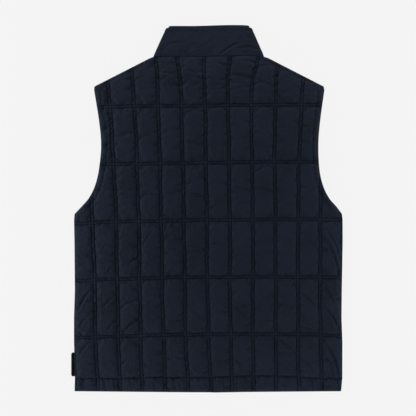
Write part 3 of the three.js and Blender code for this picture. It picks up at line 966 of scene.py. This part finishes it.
def nylon_taffeta(settings):
    # Nylon taffeta, woven, dyed navy and tumbled: a dull dark cloth whose fine crumples catch the light
    material, tree, shader, place = new_material("NylonTaffetaWovenCrumpled")
    base = linear(settings.nylon_colour)
    blotch = add_node(
        tree, "ShaderNodeTexNoise", {"Vector": place, "Scale": per_size(60), "Detail": 3.0, "Roughness": 0.6}
    )
    shade = add_node(
        tree,
        "ShaderNodeMapRange",
        {"Value": blotch.outputs["Fac"], "From Min": 0.3, "From Max": 0.7, "To Min": 0.82, "To Max": 1.2},
    )
    tint = add_node(
        tree,
        "ShaderNodeMix",
        {"Factor": 1.0, "A": base, "B": shade.outputs["Result"]},
        data_type="RGBA",
        blend_type="MULTIPLY",
    )
    tree.links.new(tint.outputs["Result"], shader.inputs["Base Color"])
    gloss = add_node(
        tree,
        "ShaderNodeMapRange",
        {"Value": blotch.outputs["Fac"], "From Min": 0.3, "From Max": 0.7, "To Min": 0.52, "To Max": 0.66},
    )
    tree.links.new(gloss.outputs["Result"], shader.inputs["Roughness"])
    crumple = add_node(
        tree,
        "ShaderNodeTexNoise",
        {"Vector": place, "Scale": per_size(7), "Detail": 4.0, "Roughness": 0.62, "Distortion": 0.8},
    )
    folds = add_node(
        tree, "ShaderNodeBump", {"Height": crumple.outputs["Fac"], "Strength": 1.0, "Distance": 0.0023}
    )
    # The weave's threads are 0.12 mm apart, and drawn 0.9 mm apart to show at all
    weave = add_node(
        tree, "ShaderNodeTexVoronoi", {"Vector": place, "Scale": per_size(0.9), "Randomness": 0.35}
    )
    threads = add_node(
        tree,
        "ShaderNodeBump",
        {
            "Height": weave.outputs["Distance"],
            "Strength": 0.12,
            "Distance": 0.0002,
            "Normal": folds.outputs["Normal"],
        },
    )
    tree.links.new(threads.outputs["Normal"], shader.inputs["Normal"])
    shader.inputs["Specular IOR Level"].default_value = 0.06
    shader.inputs["Sheen Weight"].default_value = 0.08
    shader.inputs["Sheen Roughness"].default_value = 0.45
    shader.inputs["Sheen Tint"].default_value = linear("#a3b0c8")
    return material


def thread_with_painted_shade(settings):
    # Polyester sewing thread, spun and twisted: a dark line sunk into the cloth. Its colour is partly the
    # thread's own dark navy and partly painted shade of the groove it lies in, so it is much darker than the
    # cloth
    material, tree, shader, place = new_material("PolyesterThreadTwistedPaintedShade")
    # Its plies are finer than the render shows, so they only mottle it
    twist = add_node(tree, "ShaderNodeTexNoise", {"Vector": place, "Scale": per_size(0.5), "Detail": 2.0})
    shade = add_node(tree, "ShaderNodeValToRGB", {"Fac": twist.outputs["Fac"]})
    base = linear(settings.thread_and_groove_shade_colour)
    shade.color_ramp.elements[0].color = (*[c * 0.6 for c in base[:3]], 1)
    shade.color_ramp.elements[1].color = (*[c * 1.3 for c in base[:3]], 1)
    tree.links.new(shade.outputs["Color"], shader.inputs["Base Color"])
    bump = add_node(
        tree, "ShaderNodeBump", {"Height": twist.outputs["Fac"], "Strength": 0.5, "Distance": 0.0002}
    )
    tree.links.new(bump.outputs["Normal"], shader.inputs["Normal"])
    shader.inputs["Roughness"].default_value = 0.5
    shader.inputs["Specular IOR Level"].default_value = 0.1
    return material


def woven_tape(settings):
    # Polyester tape, woven in a herringbone and dyed black: close diagonal ribs on a matt ground
    material, tree, shader, place = new_material("PolyesterTapeWoven")
    # The ribs are 1 mm apart, and this size of the pattern draws them about 2 mm apart to show
    ribs = add_node(
        tree,
        "ShaderNodeTexWave",
        {"Vector": place, "Scale": per_size(6), "Distortion": 0.4, "Detail": 1.0},
        bands_direction="DIAGONAL",
    )
    shade = add_node(tree, "ShaderNodeValToRGB", {"Fac": ribs.outputs["Fac"]})
    base = linear(settings.tape_colour)
    shade.color_ramp.elements[0].color = (*[c * 0.6 for c in base[:3]], 1)
    shade.color_ramp.elements[1].color = (*[c * 1.5 for c in base[:3]], 1)
    tree.links.new(shade.outputs["Color"], shader.inputs["Base Color"])
    bump = add_node(
        tree, "ShaderNodeBump", {"Height": ribs.outputs["Fac"], "Strength": 0.5, "Distance": 0.0003}
    )
    tree.links.new(bump.outputs["Normal"], shader.inputs["Normal"])
    shader.inputs["Roughness"].default_value = 0.8
    shader.inputs["Specular IOR Level"].default_value = 0.08
    return material


def moulded_acetal(settings):
    # Acetal, injection moulded in black: smooth waxy teeth with a soft highlight
    material, tree, shader, place = new_material("AcetalMoulded")
    grain = add_node(tree, "ShaderNodeTexNoise", {"Vector": place, "Scale": per_size(0.8), "Detail": 2.0})
    gloss = add_node(
        tree, "ShaderNodeMapRange", {"Value": grain.outputs["Fac"], "To Min": 0.3, "To Max": 0.45}
    )
    tree.links.new(gloss.outputs["Result"], shader.inputs["Roughness"])
    bump = add_node(
        tree, "ShaderNodeBump", {"Height": grain.outputs["Fac"], "Strength": 0.1, "Distance": 0.0001}
    )
    tree.links.new(bump.outputs["Normal"], shader.inputs["Normal"])
    shader.inputs["Base Color"].default_value = linear("#111317")
    shader.inputs["IOR"].default_value = 1.48
    return material


def plated_zinc(settings):
    # Zinc, die cast and plated gunmetal: a dark metal with a satin polish and fine rubbed marks
    material, tree, shader, place = new_material("ZincDieCastPlated")
    rubbed = add_node(tree, "ShaderNodeTexNoise", {"Vector": place, "Scale": per_size(1.5), "Detail": 5.0})
    gloss = add_node(
        tree, "ShaderNodeMapRange", {"Value": rubbed.outputs["Fac"], "To Min": 0.22, "To Max": 0.42}
    )
    tree.links.new(gloss.outputs["Result"], shader.inputs["Roughness"])
    shade = add_node(tree, "ShaderNodeValToRGB", {"Fac": rubbed.outputs["Fac"]})
    shade.color_ramp.elements[0].color = linear("#3c3e43")
    shade.color_ramp.elements[1].color = linear("#5b5e65")
    tree.links.new(shade.outputs["Color"], shader.inputs["Base Color"])
    bump = add_node(
        tree, "ShaderNodeBump", {"Height": rubbed.outputs["Fac"], "Strength": 0.08, "Distance": 0.0001}
    )
    tree.links.new(bump.outputs["Normal"], shader.inputs["Normal"])
    shader.inputs["Metallic"].default_value = 1.0
    return material


def opal_acrylic(settings):
    # Opal acrylic sheet, cast and lit from behind: an even pale ground on which a shadow hardly shows
    material, tree, shader, place = new_material("OpalAcrylicCast")
    grain = add_node(tree, "ShaderNodeTexNoise", {"Vector": place, "Scale": per_size(2), "Detail": 2.0})
    bump = add_node(
        tree, "ShaderNodeBump", {"Height": grain.outputs["Fac"], "Strength": 0.02, "Distance": 0.0001}
    )
    tree.links.new(bump.outputs["Normal"], shader.inputs["Normal"])
    shader.inputs["Base Color"].default_value = linear("#202020")
    shader.inputs["Roughness"].default_value = 0.9
    shader.inputs["Specular IOR Level"].default_value = 0.0
    shader.inputs["Emission Color"].default_value = linear(settings.floor_colour)
    shader.inputs["Emission Strength"].default_value = 0.972
    return material


def material_for(name, maker, settings):
    """A material by its name, made the first time that it is asked for."""
    return bpy.data.materials.get(name) or maker(settings)


# Pieces


def held_points(sheet, depth):
    """Which points of a quilted sheet the thread, the hem and the seams hold."""
    to_column, to_row, _, row = sheet[:, 2:6].T
    held = (abs(abs(to_column) - PAIR_HALF) < 0.4) | (abs(abs(to_row) - PAIR_HALF) < 0.4)
    return held | (abs(row - HEM_STITCH) < 0.5) | (depth < 1.0)


class VEST_OT_back(bpy.types.Operator):
    """Build the quilted back: a pillowed sheet, gathered at its stitch lines and creased along listed lines
    """

    bl_idname = "vest.back"
    bl_label = "Back"

    def execute(self, context):
        settings = context.scene.vest
        levels = BACK_LEVELS
        step = settings.grid_step / MM
        sheet, faces, depth = quilted_sheet(back_pair, 1, quilt_columns(-SPARE, PAIRS, step), OUTLINE, step)
        share, gathers = pillow(sheet, depth)
        waves = 0.25 * soft_noise(sheet, size=18, seed=11) + 0.4 * crumple(sheet, size=14, seed=12)
        height = levels["stitch"] + (levels["crown"] - levels["stitch"]) * share
        height += 0.25 * gathers + share * waves
        points = np.column_stack([sheet[:, :2], height])
        points = puffed(points, faces, held_points(sheet, depth), settings)
        over = np.clip(points[:, 2] - levels["crown"], 0, None)
        points[:, 2] += np.tanh(over / CROWN_SOFTNESS) * CROWN_SOFTNESS - over
        points[:, 2] += 0.22 * gathers - creased(points, BACK_CREASES) * np.clip(share * 2, 0.25, 1)
        points[:, 2] -= grooves(sheet, edge_seams(sheet, depth))
        points[:, 2] += SWELL[0] * (1 - (1 - np.clip(depth / SWELL[1], 0, 1)) ** 2)
        neck = np.clip((sheet[:, 1] - NECK_LIFT["from"]) / NECK_LIFT["over"], 0, 1)
        edge = levels["edge"] + NECK_LIFT["by"] * neck * (abs(sheet[:, 0]) < NECK_LIFT["half"])
        points[:, 2] = edge + (points[:, 2] - edge) * rounded(depth, EDGE_ROUND)
        points, faces = close_shell(points, faces, levels["inner"])
        cloth = material_for("NylonTaffetaWovenCrumpled", nylon_taffeta, settings)
        piece = new_piece("back_cloth", in_frame(points), faces, cloth)
        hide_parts("back_panel")
        return {"FINISHED"}


class VEST_OT_fronts(bpy.types.Operator):
    """Build both quilted fronts, which lie face down under the back"""

    bl_idname = "vest.fronts"
    bl_label = "Fronts"

    def execute(self, context):
        settings = context.scene.vest
        cloth = material_for("NylonTaffetaWovenCrumpled", nylon_taffeta, settings)
        levels = FRONT_LEVELS
        step = FRONT_COARSER * settings.grid_step / MM
        columns = quilt_columns(-1, FRONT_COLUMN["count"], step)
        for side, name in SIDES:
            sheet, faces, depth = quilted_sheet(front_pair, side, columns, front_outline(side), step)
            share, gathers = pillow(sheet, depth)
            height = levels["stitch"] + (levels["crown"] - levels["stitch"]) * share
            height -= 0.35 * np.minimum(gathers, 0) * (1 - share)
            creases = [((side * a[0], a[1]), (side * b[0], b[1]), *rest) for a, b, *rest in FRONT_CREASES]
            height += creased(sheet, creases) + grooves(sheet, np.full(len(sheet), FAR))
            height = np.clip(height, 0, levels["edge"])
            edge = np.where(abs(sheet[:, 0]) < PLACKET[0], PLACKET[1] - PLACKET_LIP, levels["edge"])
            height = edge + (height - edge) * rounded(depth, EDGE_ROUND)
            points = np.column_stack([sheet[:, :2], height])
            points, faces = close_shell(points, [f[::-1] for f in faces], levels["inner"], PLACKET)
            piece = new_piece(f"front_cloth_{name}", in_frame(points), faces, cloth)
            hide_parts(f"front_{name}")
        return {"FINISHED"}


def collar_band():
    """Columns round the collar, from zip to zip: low and high point, middle level and outward direction."""
    front, back = COLLAR_MIDDLES
    radius = (back - front) / 2
    neck, top = np.array(BACK_NECK), smooth_curve(COLLAR_TOP, 60)

    def front_columns(side):
        shares = np.linspace(0.03, 1, 46)
        found = []
        for a, b in zip(bezier(NECKLINE, shares), bezier(COLLAR_DIP, shares)):
            if min(a[0], b[0]) >= ZIP_OPENING:
                found.append(((side * a[0], a[1] + SEAM_GAP / 2), (side * b[0], b[1]), front, (0, -1)))
        low, high = found[-1][:2]
        found.append(((side * ZIP_OPENING, low[1]), (side * ZIP_OPENING, high[1]), front, (0, -1)))
        return found

    def fold_columns(side):
        corners = np.array(COLLAR_FOLDS[side])
        found = []
        for angle in np.linspace(0, np.pi, 9):
            share = angle / np.pi
            low, high = corners[:2] * (1 - share) + corners[2:] * share
            out = np.array([side * radius * np.sin(angle), 0])
            level = (front + back) / 2 - radius * np.cos(angle)
            found.append((low + out, high + out, level, (side * np.sin(angle), -np.cos(angle))))
        return found

    def back_columns():
        left, right = [np.array(COLLAR_FOLDS[side])[2:, 0] for side in (-1, 1)]
        found = []
        for share in np.linspace(0, 1, 92)[1:-1]:
            low_x, high_x = left + share * (right - left)
            low = (low_x, np.interp(low_x, neck[:, 0], neck[:, 1]) + SEAM_GAP / 2)
            high = (high_x, np.interp(high_x, top[:, 0], top[:, 1]))
            found.append((low, high, back, (0, 1)))
        return found

    left = front_columns(-1)[::-1] + fold_columns(-1)
    return left + back_columns() + fold_columns(1)[::-1] + front_columns(1)


def collar_ring(length):
    """Section of a column of the collar, up its outside and down its inside: share of the way up, offset."""
    ring = []
    for share in (0, 0.012, 0.03, 0.06, *np.linspace(0.1, 0.96, 24), 0.985):
        from_high = (1 - share) * length
        swell = (1 - 0.45 * np.exp(-share * length / 3.0)) * rounded(from_high, COLLAR_LIP, 0.12)
        groove = 0.2 * np.exp(-(((from_high - COLLAR_TOPSTITCH) / 1.6) ** 2))
        ring.append((share, swell - groove))
    ring.append((1.0, 0.0))
    for share in np.linspace(0.97, 0.0, 14):
        ring.append((share, -rounded((1 - share) * length, COLLAR_LIP, 0.12)))
    return ring


class VEST_OT_collar(bpy.types.Operator):
    """Build the standing collar as one closed band, folded flat at its two ends"""

    bl_idname = "vest.collar"
    bl_label = "Collar"

    def execute(self, context):
        settings = context.scene.vest
        band = collar_band()
        points, places = [], []
        for low, high, level, (out_x, out_z) in band:
            low, high = np.array(low), np.array(high)
            length = np.linalg.norm(high - low)
            near_zip = np.clip((COLLAR_SLIM["start"] - abs(low[0])) / COLLAR_SLIM["over"], 0, 1)
            slim = COLLAR_SLIM["by"] * near_zip
            for share, offset in collar_ring(length):
                x, y = low + (high - low) * share
                out = offset * (COLLAR_HALF - slim)
                points.append((x + out_x * out, y, level - slim + out_z * out))
                places.append((offset, share * length, out_z))
        points = np.array(points)
        offset, risen, out_z = np.array(places).T
        pucker = np.exp(-risen / 5) * line_noise(points[:, 0], np.zeros(len(points)), size=4.8, seed=23)
        relief = 0.75 * soft_noise(points, size=26, seed=21) + 0.3 * soft_noise(points, size=11, seed=22)
        relief += 0.5 * crumple(points, size=17, seed=24) + 0.35 * pucker
        relief -= 1.8 * creased(points, COLLAR_CREASES)
        ripple = abs(0.25 * soft_noise(points, size=24, seed=25) + 0.25 * pucker)
        over = (offset > 0.3) & (out_z > 0.5)
        under = (offset > 0.3) & (out_z < -0.5)
        points[over, 2] += relief[over] * np.clip(offset[over], 0, 1)
        points[under, 2] += ripple[under]
        faces = ring_faces(len(band), len(points) // len(band), True)
        cloth = material_for("NylonTaffetaWovenCrumpled", nylon_taffeta, settings)
        piece = new_piece("collar_cloth", in_frame(points), faces, cloth)
        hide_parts("collar")
        return {"FINISHED"}


class VEST_OT_stitches(bpy.types.Operator):
    """Sew the stitch lines of the back, the fronts and the collar"""

    bl_idname = "vest.stitches"
    bl_label = "Stitches"

    def execute(self, context):
        settings = context.scene.vest
        self.sew_back(settings)
        for side, name in SIDES:
            self.sew_front(side, name, settings)
        self.sew_collar(settings)
        return {"FINISHED"}

    def sew_back(self, settings):
        back = bpy.data.objects["back_cloth"]
        routes = row_routes() + upright_routes(back_pair, PAIRS, 1)
        for side, _ in SIDES:
            shoulder = np.array(side_points((SHOULDER_TIP, SHOULDER_NECK), side))
            routes += [armhole_route(side, 0), shoulder - (0, SHOULDER_SLANT * SHOULDER_STITCH)]
        sewn = sew("back_stitches", routes, surface_tree(back), 1, OUTLINE, settings)

    def sew_front(self, side, name, settings):
        front = bpy.data.objects[f"front_cloth_{name}"]
        outline = front_outline(side)
        routes = row_routes(side) + upright_routes(front_pair, FRONT_COLUMN["count"], side)
        routes.append(armhole_route(side, FRONT_ARMHOLE_SCOOP))
        routes.append([(side * PLACKET_STITCH["across"], PLACKET_STITCH[end]) for end in ("foot", "head")])
        tree = surface_tree(front)
        sewn = sew(f"front_stitches_{name}", routes, tree, -1, outline, settings)

    def sew_collar(self, settings):
        collar = bpy.data.objects["collar_cloth"]
        tree = surface_tree(collar)
        over, under = [], {-1: [], 1: []}
        for low, high, _, (_, out_z) in collar_band():
            low, high = np.array(low), np.array(high)
            place = high + (low - high) * COLLAR_TOPSTITCH / np.linalg.norm(high - low)
            if out_z > 0.9:
                over.append(place)
            elif out_z < -0.9:
                under[1 if low[0] > 0 else -1].append(place)
        upper = sew("collar_stitches", [over], tree, 1, None, settings)
        lower = sew("collar_stitches_front", list(under.values()), tree, -1, None, settings)


class VEST_OT_zip(bpy.types.Operator):
    """Build the zip: both woven tapes and two rows of moulded teeth, with the slider from the frame"""

    bl_idname = "vest.zip"
    bl_label = "Zip"

    def execute(self, context):
        settings = context.scene.vest
        tape = material_for("PolyesterTapeWoven", woven_tape, settings)
        acetal = material_for("AcetalMoulded", moulded_acetal, settings)
        metal = material_for("ZincDieCastPlated", plated_zinc, settings)
        for side, name in SIDES:
            points = [(side * x, y, z) for y in np.linspace(*TAPE_ENDS, TAPE_ROWS) for x, z in TAPE_SECTION]
            faces = ring_faces(TAPE_ROWS, len(TAPE_SECTION), side < 0)
            piece = new_piece(f"tape_{name}", in_frame(points), faces, tape)
            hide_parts(f"zip_tape_{name}")
        points, faces = [], []
        for side, _ in SIDES:
            # The teeth of one side stand in the gaps of the other
            start = TEETH["first"] + (TEETH["pitch"] / 2 if side > 0 else 0)
            for y in np.arange(start, TEETH["last"], TEETH["pitch"]):
                faces += [[len(points) + i for i in face] for face in ring_faces(len(TOOTH), 4, side > 0)]
                for x, half_length, half_height in TOOTH:
                    for a, b in ((-1, -1), (1, -1), (1, 1), (-1, 1)):
                        points.append((side * x, y + a * half_length, TEETH["level"] + b * half_height))
        teeth = new_piece("teeth", in_frame(points), faces, acetal, smooth=False)
        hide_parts("zip_chain")
        finishes = {
            "zip_bottom_box": acetal,
            "zip_stop_left": metal,
            "zip_stop_right": metal,
            "zip_slider": metal,
            "zip_pull": metal,
        }
        for node, finish in finishes.items():
            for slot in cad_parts[node].material_slots:
                slot.material = finish
        return {"FINISHED"}


class VEST_OT_side_tab(bpy.types.Operator):
    """Build the folded tab of woven tape at the side seam"""

    bl_idname = "vest.side_tab"
    bl_label = "Side tab"

    def execute(self, context):
        tape = material_for("PolyesterTapeWoven", woven_tape, context.scene.vest)
        (low_x, low_y, low_z), (high_x, high_y, high_z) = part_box("side_tab")
        half, middle = (high_z - low_z) / 2, (high_z + low_z) / 2
        flat = 0.98 * half
        rows = np.linspace(low_y, high_y, 40)
        fold = [(-np.cos(angle), np.sin(angle)) for angle in np.linspace(-np.pi / 2, np.pi / 2, 9)]
        wave = np.random.default_rng(31).uniform(-1, 1, len(rows))
        points = []
        for y, bend in zip(rows, np.convolve(wave, [0.25, 0.5, 0.25], "same")):
            end = min(y - low_y, high_y - y) / (high_y - low_y)
            # Its corners are rounded, and its fold wavers a little
            trim = 0.0012 * max(0, 1 - end * 12) + 0.0001 * bend
            points += [(low_x + trim + half * (1 + a), y, middle + flat * b) for a, b in fold]
            points += [(high_x, y, middle + flat), (high_x, y, middle - flat)]
        faces = ring_faces(len(rows), len(fold) + 2, False)
        piece = new_piece("tab_tape", points, faces, tape)
        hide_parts("side_tab")
        return {"FINISHED"}


class VEST_OT_stage(bpy.types.Operator):
    """Set up the floor, the soft lights and the camera straight above the back"""

    bl_idname = "vest.stage"
    bl_label = "Stage"

    def execute(self, context):
        settings = context.scene.vest
        scene = context.scene
        acrylic = material_for("OpalAcrylicCast", opal_acrylic, settings)
        mesh = bpy.data.meshes.new("floor")
        half = FLOOR_HALF
        corners = [(-half, -half), (half, -half), (half, half), (-half, half)]
        mesh.from_pydata([(*corner, FLOOR_LEVEL) for corner in corners], [], [(0, 1, 2, 3)])
        mesh.materials.append(acrylic)
        floor = bpy.data.objects.new("floor", mesh)
        scene.collection.objects.link(floor)
        self.add_sky(scene)
        self.add_suns(scene)
        self.add_strips(scene)
        self.add_camera(scene)
        scene.view_settings.view_transform = "Standard"
        return {"FINISHED"}

    def add_sky(self, scene):
        # A soft box all round, brightest near the horizon
        world = bpy.data.worlds.new("studio")
        world.use_nodes = True
        scene.world = world
        tree = world.node_tree
        place = add_node(tree, "ShaderNodeTexCoord").outputs["Generated"]
        height = add_node(tree, "ShaderNodeSeparateXYZ", {0: place})
        level = add_node(
            tree,
            "ShaderNodeMapRange",
            {"Value": height.outputs["Z"], "To Min": SKY[0], "To Max": SKY[1]},
        )
        background = tree.nodes["Background"]
        background.inputs["Color"].default_value = linear("#f4f6ff")
        tree.links.new(level.outputs["Result"], background.inputs["Strength"])

    def add_suns(self, scene):
        for name, bearing, rise, spread, power in SUNS:
            light = bpy.data.lights.new(name, "SUN")
            light.angle = math.radians(spread)
            light.energy = power
            lamp = bpy.data.objects.new(name, light)
            bearing, rise = math.radians(bearing), math.radians(rise)
            level = math.cos(rise)
            place = Vector((math.cos(bearing) * level, math.sin(bearing) * level, math.sin(rise)))
            lamp.location = place * SUN_DISTANCE
            lamp.rotation_euler = (-place).to_track_quat("-Z", "Y").to_euler()
            scene.collection.objects.link(lamp)

    def add_strips(self, scene):
        # They stand low around the vest and face it
        tilt = math.radians(STRIP_TILT)
        for name, x, y, wide, long, power in STRIPS:
            light = bpy.data.lights.new(name, "AREA")
            light.shape = "RECTANGLE"
            light.size, light.size_y = wide, long
            light.energy = power
            lamp = bpy.data.objects.new(name, light)
            lamp.location = (x, y, STRIP_LEVEL)
            lamp.rotation_euler = (-tilt * np.sign(y), tilt * np.sign(x), 0)
            scene.collection.objects.link(lamp)

    def add_camera(self, scene):
        eye = bpy.data.cameras.new("camera")
        eye.lens = LENS
        eye.sensor_width = SENSOR
        eye.clip_end = 20
        camera = bpy.data.objects.new("camera", eye)
        x, y = (np.array(VIEW_MIDDLE) + SHIFT) * MM
        camera.location = (x, y, VIEW_WIDTH * LENS / SENSOR + VIEW_LEVEL)
        scene.collection.objects.link(camera)
        scene.camera = camera


class VEST_PT_sidebar(bpy.types.Panel):
    """Lists the vest's sizes, its colours and the steps that build it"""

    bl_idname = "VEST_PT_sidebar"
    bl_label = "Quilted vest"
    bl_space_type = "VIEW_3D"
    bl_region_type = "UI"
    bl_category = "Vest"

    def draw(self, context):
        column = self.layout.column()
        for name in VestSettings.__annotations__:
            column.prop(context.scene.vest, name)
        for operator in STEPS:
            column.operator(operator.bl_idname)


STEPS = (
    VEST_OT_stage,
    VEST_OT_back,
    VEST_OT_fronts,
    VEST_OT_collar,
    VEST_OT_stitches,
    VEST_OT_zip,
    VEST_OT_side_tab,
)
CLASSES = (VestSettings, *STEPS, VEST_PT_sidebar)


def register():
    for cls in CLASSES:
        bpy.utils.register_class(cls)
    bpy.types.Scene.vest = PointerProperty(type=VestSettings)


def unregister():
    del bpy.types.Scene.vest
    for cls in reversed(CLASSES):
        bpy.utils.unregister_class(cls)


def main():
    register()
    bpy.ops.vest.stage()
    bpy.ops.vest.back()
    bpy.ops.vest.fronts()
    bpy.ops.vest.collar()
    bpy.ops.vest.stitches()
    bpy.ops.vest.zip()
    bpy.ops.vest.side_tab()


if __name__ == "__main__":
    main()
